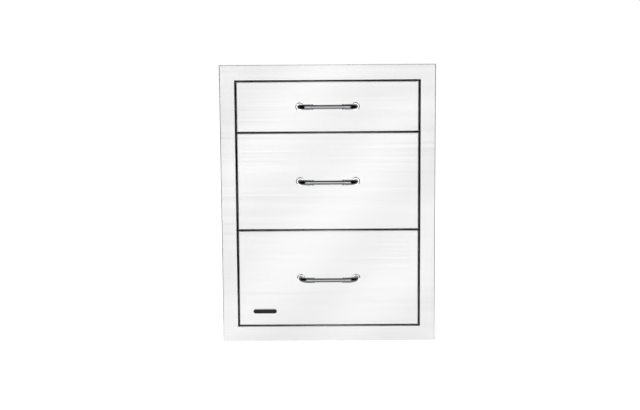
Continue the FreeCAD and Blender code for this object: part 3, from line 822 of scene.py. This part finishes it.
class DRAWERUNIT_OT_set_studio(Operator):
    """Set the floor, the white surroundings, the lamps and the camera"""

    bl_idname = "drawer_unit.set_studio"
    bl_label = "Set Studio"

    def execute(self, context):
        settings = context.scene.drawer_studio
        self.add_world(context, settings)
        self.add_floor(settings)
        self.add_cards(settings)
        self.add_lamps()
        self.add_camera(context, settings)
        context.scene.view_settings.view_transform = "Standard"
        return {"FINISHED"}

    def seen_directly(self, tree, path):
        """1 for what the camera, a reflection or a clear material looks at, and 0 for light."""
        first = add_node(
            tree,
            "ShaderNodeMath",
            {"operation": "MAXIMUM"},
            {0: path.outputs["Is Camera Ray"], 1: path.outputs["Is Glossy Ray"]},
        )
        second = add_node(
            tree,
            "ShaderNodeMath",
            {"operation": "MAXIMUM"},
            {0: first.outputs["Value"], 1: path.outputs["Is Transmission Ray"]},
        )
        return second.outputs["Value"]

    def add_world(self, context, settings):
        """White all round, under a dark ceiling that only reflections look up to."""
        world = bpy.data.worlds.new("white_studio")
        world.use_nodes = True
        context.scene.world = world
        tree = world.node_tree
        tree.nodes.clear()
        path = add_node(tree, "ShaderNodeLightPath")
        lit = add_node(
            tree, "ShaderNodeBackground", {"Color": WHITE, "Strength": settings.ambient}
        )
        seen = add_node(tree, "ShaderNodeBackground", {"Color": WHITE, "Strength": 1.0})
        surround = add_node(
            tree,
            "ShaderNodeMixShader",
            links={
                0: self.seen_directly(tree, path),
                1: lit.outputs["Background"],
                2: seen.outputs["Background"],
            },
        )
        place = add_node(tree, "ShaderNodeTexCoord")
        split = add_node(
            tree, "ShaderNodeSeparateXYZ", links={"Vector": place.outputs["Generated"]}
        )
        height = add_node(
            tree,
            "ShaderNodeMapRange",
            {"From Min": sin(settings.ceiling_low), "From Max": sin(settings.ceiling_high)},
            {"Value": split.outputs["Z"]},
        )
        looked_up_to = add_node(
            tree,
            "ShaderNodeMath",
            {"operation": "MULTIPLY"},
            {0: height.outputs["Result"], 1: path.outputs["Is Glossy Ray"]},
        )
        ceiling = add_node(
            tree, "ShaderNodeBackground", {"Color": (*settings.ceiling, 1), "Strength": 1.0}
        )
        sky = add_node(
            tree,
            "ShaderNodeMixShader",
            links={
                0: looked_up_to.outputs["Value"],
                1: surround.outputs["Shader"],
                2: ceiling.outputs["Background"],
            },
        )
        add_node(tree, "ShaderNodeOutputWorld", links={"Surface": sky.outputs["Shader"]})

    def add_panel(self, name, size, place, material):
        """A flat stage panel that faces its own +Z."""
        shape = bmesh.new()
        bmesh.ops.create_grid(shape, x_segments=1, y_segments=1, size=0.5)
        bmesh.ops.transform(
            shape, matrix=place @ Matrix.Diagonal((*size, 1, 1)), verts=shape.verts
        )
        mesh = bpy.data.meshes.new(name)
        shape.to_mesh(mesh)
        shape.free()
        panel = bpy.data.objects.new(name, mesh)
        bpy.context.scene.collection.objects.link(panel)
        mesh.materials.append(material)
        return panel

    def add_floor(self, settings):
        # matt white paper, with a glow for what looks at it, so that it meets the white round it
        material, tree, shader = new_material(
            "white_paper",
            {"Base Color": (*settings.paper, 1), "Roughness": 0.9, "Specular IOR Level": 0.0},
        )
        path = add_node(tree, "ShaderNodeLightPath")
        dark = add_node(tree, "ShaderNodeEmission", {"Strength": 0.0})
        glow = add_node(
            tree, "ShaderNodeEmission", {"Color": WHITE, "Strength": settings.paper_glow}
        )
        shown_glow = add_node(
            tree,
            "ShaderNodeMixShader",
            links={
                0: self.seen_directly(tree, path),
                1: dark.outputs["Emission"],
                2: glow.outputs["Emission"],
            },
        )
        both = add_node(
            tree,
            "ShaderNodeAddShader",
            links={0: shader.outputs["BSDF"], 1: shown_glow.outputs["Shader"]},
        )
        output = tree.get_output_node("ALL")
        tree.links.new(both.outputs["Shader"], output.inputs["Surface"])
        self.add_panel("floor", (60, 60), Matrix.Identity(4), material)

    def add_cards(self, settings):
        """Black cards that only reflections see: they draw the edges of bright metal."""
        # black felt: dull and nearly without tone
        material, _, _ = new_material(
            "black_felt_card",
            {"Base Color": (*settings.felt, 1), "Roughness": 1.0, "Specular IOR Level": 0.0},
        )
        size = (0.75, 0.57)
        aside, ahead, height = 0.396, 0.25, 0.4
        turn = radians(15)
        stand = Matrix.Rotation(pi / 2, 4, "Y")
        for side, sign in SIDES:
            place = Matrix.Translation((sign * aside, -ahead, height))
            place = place @ Matrix.Rotation(sign * turn, 4, "Z") @ stand
            card = self.add_panel(f"card_{side}", size, place, material)
            card.visible_camera = False
            card.visible_diffuse = False
            card.visible_shadow = False

    def add_lamps(self):
        # each lamp's place, size, power in watts and whether reflections show it
        # the softboxes light the whole unit and the strip lights the handles alone
        lamps = {
            "top_softbox": ((0, 0.2, 3.2), (2.4, 2.4), 11, True),
            "left_softbox": ((-2.0, -2.0, 2.0), (1.8, 1.8), 8, False),
            "right_softbox": ((2.4, -1.6, 1.9), (1.8, 1.8), 5, False),
            "back_softbox": ((-1.2, 2.4, 2.2), (2.0, 2.0), 5, False),
            "front_softbox": ((0, -3.0, 0.5), (2.4, 1.4), 8.2, True),
            "handle_strip": ((0, -1.25, 0.46), (2.4, 0.86), 16, True),
        }
        middle_of_unit = Vector((0, 0.1, 0.3))
        for name, (place, size, power, mirrored) in lamps.items():
            data = bpy.data.lights.new(name, "AREA")
            data.shape = "RECTANGLE"
            data.size, data.size_y = size
            data.energy = power
            lamp = bpy.data.objects.new(name, data)
            lamp.location = place
            aim = middle_of_unit - Vector(place)
            lamp.rotation_euler = aim.to_track_quat("-Z", "Y").to_euler()
            lamp.visible_camera = False
            lamp.visible_glossy = mirrored
            bpy.context.scene.collection.objects.link(lamp)
        self.keep_to_handles(bpy.data.objects["handle_strip"])

    def keep_to_handles(self, lamp):
        """Let a lamp draw the bright line along each handle and light nothing else."""
        handles = bpy.data.collections.new("handles")
        for drawer in DRAWERS:
            handles.objects.link(bpy.data.objects[f"posts_{drawer}"])
            handles.objects.link(bpy.data.objects[f"bar_{drawer}"])
        lamp.light_linking.receiver_collection = handles

    def add_camera(self, context, settings):
        data = bpy.data.cameras.new("camera")
        data.lens = settings.lens
        data.sensor_width = 36
        camera = bpy.data.objects.new("camera", data)
        turn = Matrix.Rotation(settings.yaw, 4, "Z")
        tilt = Matrix.Rotation(pi / 2 + settings.pitch, 4, "X")
        roll = Matrix.Rotation(settings.roll, 4, "Z")
        camera.matrix_world = Matrix.Translation(settings.camera_place) @ turn @ tilt @ roll
        context.scene.collection.objects.link(camera)
        context.scene.camera = camera


STEPS = (
    DRAWERUNIT_OT_finish_sheets,
    DRAWERUNIT_OT_add_handles,
    DRAWERUNIT_OT_add_badge,
    DRAWERUNIT_OT_add_fasteners,
    DRAWERUNIT_OT_add_balls,
    DRAWERUNIT_OT_set_studio,
)

SETTINGS = {
    "drawer_finish": FinishSettings,
    "drawer_handle": HandleSettings,
    "drawer_badge": BadgeSettings,
    "drawer_fastener": FastenerSettings,
    "drawer_studio": StudioSettings,
}


class DRAWERUNIT_PT_sidebar(Panel):
    """Lists the unit's settings and steps"""

    bl_label = "Drawer Unit"
    bl_idname = "DRAWERUNIT_PT_sidebar"
    bl_space_type = "VIEW_3D"
    bl_region_type = "UI"
    bl_category = "Drawer Unit"

    def draw(self, context):
        for name in SETTINGS:
            group = getattr(context.scene, name)
            box = self.layout.box()
            for key in group.__annotations__:
                box.prop(group, key)
        for step in STEPS:
            self.layout.operator(step.bl_idname)


def register():
    for name, group in SETTINGS.items():
        bpy.utils.register_class(group)
        setattr(bpy.types.Scene, name, PointerProperty(type=group))
    for thing in (*STEPS, DRAWERUNIT_PT_sidebar):
        bpy.utils.register_class(thing)


def unregister():
    for thing in (DRAWERUNIT_PT_sidebar, *reversed(STEPS)):
        bpy.utils.unregister_class(thing)
    for name, group in SETTINGS.items():
        delattr(bpy.types.Scene, name)
        bpy.utils.unregister_class(group)


def main():
    register()
    bpy.ops.drawer_unit.finish_sheets()
    bpy.ops.drawer_unit.add_handles()
    bpy.ops.drawer_unit.add_badge()
    bpy.ops.drawer_unit.add_fasteners()
    bpy.ops.drawer_unit.add_balls()
    bpy.ops.drawer_unit.set_studio()


if __name__ == "__main__":
    main()
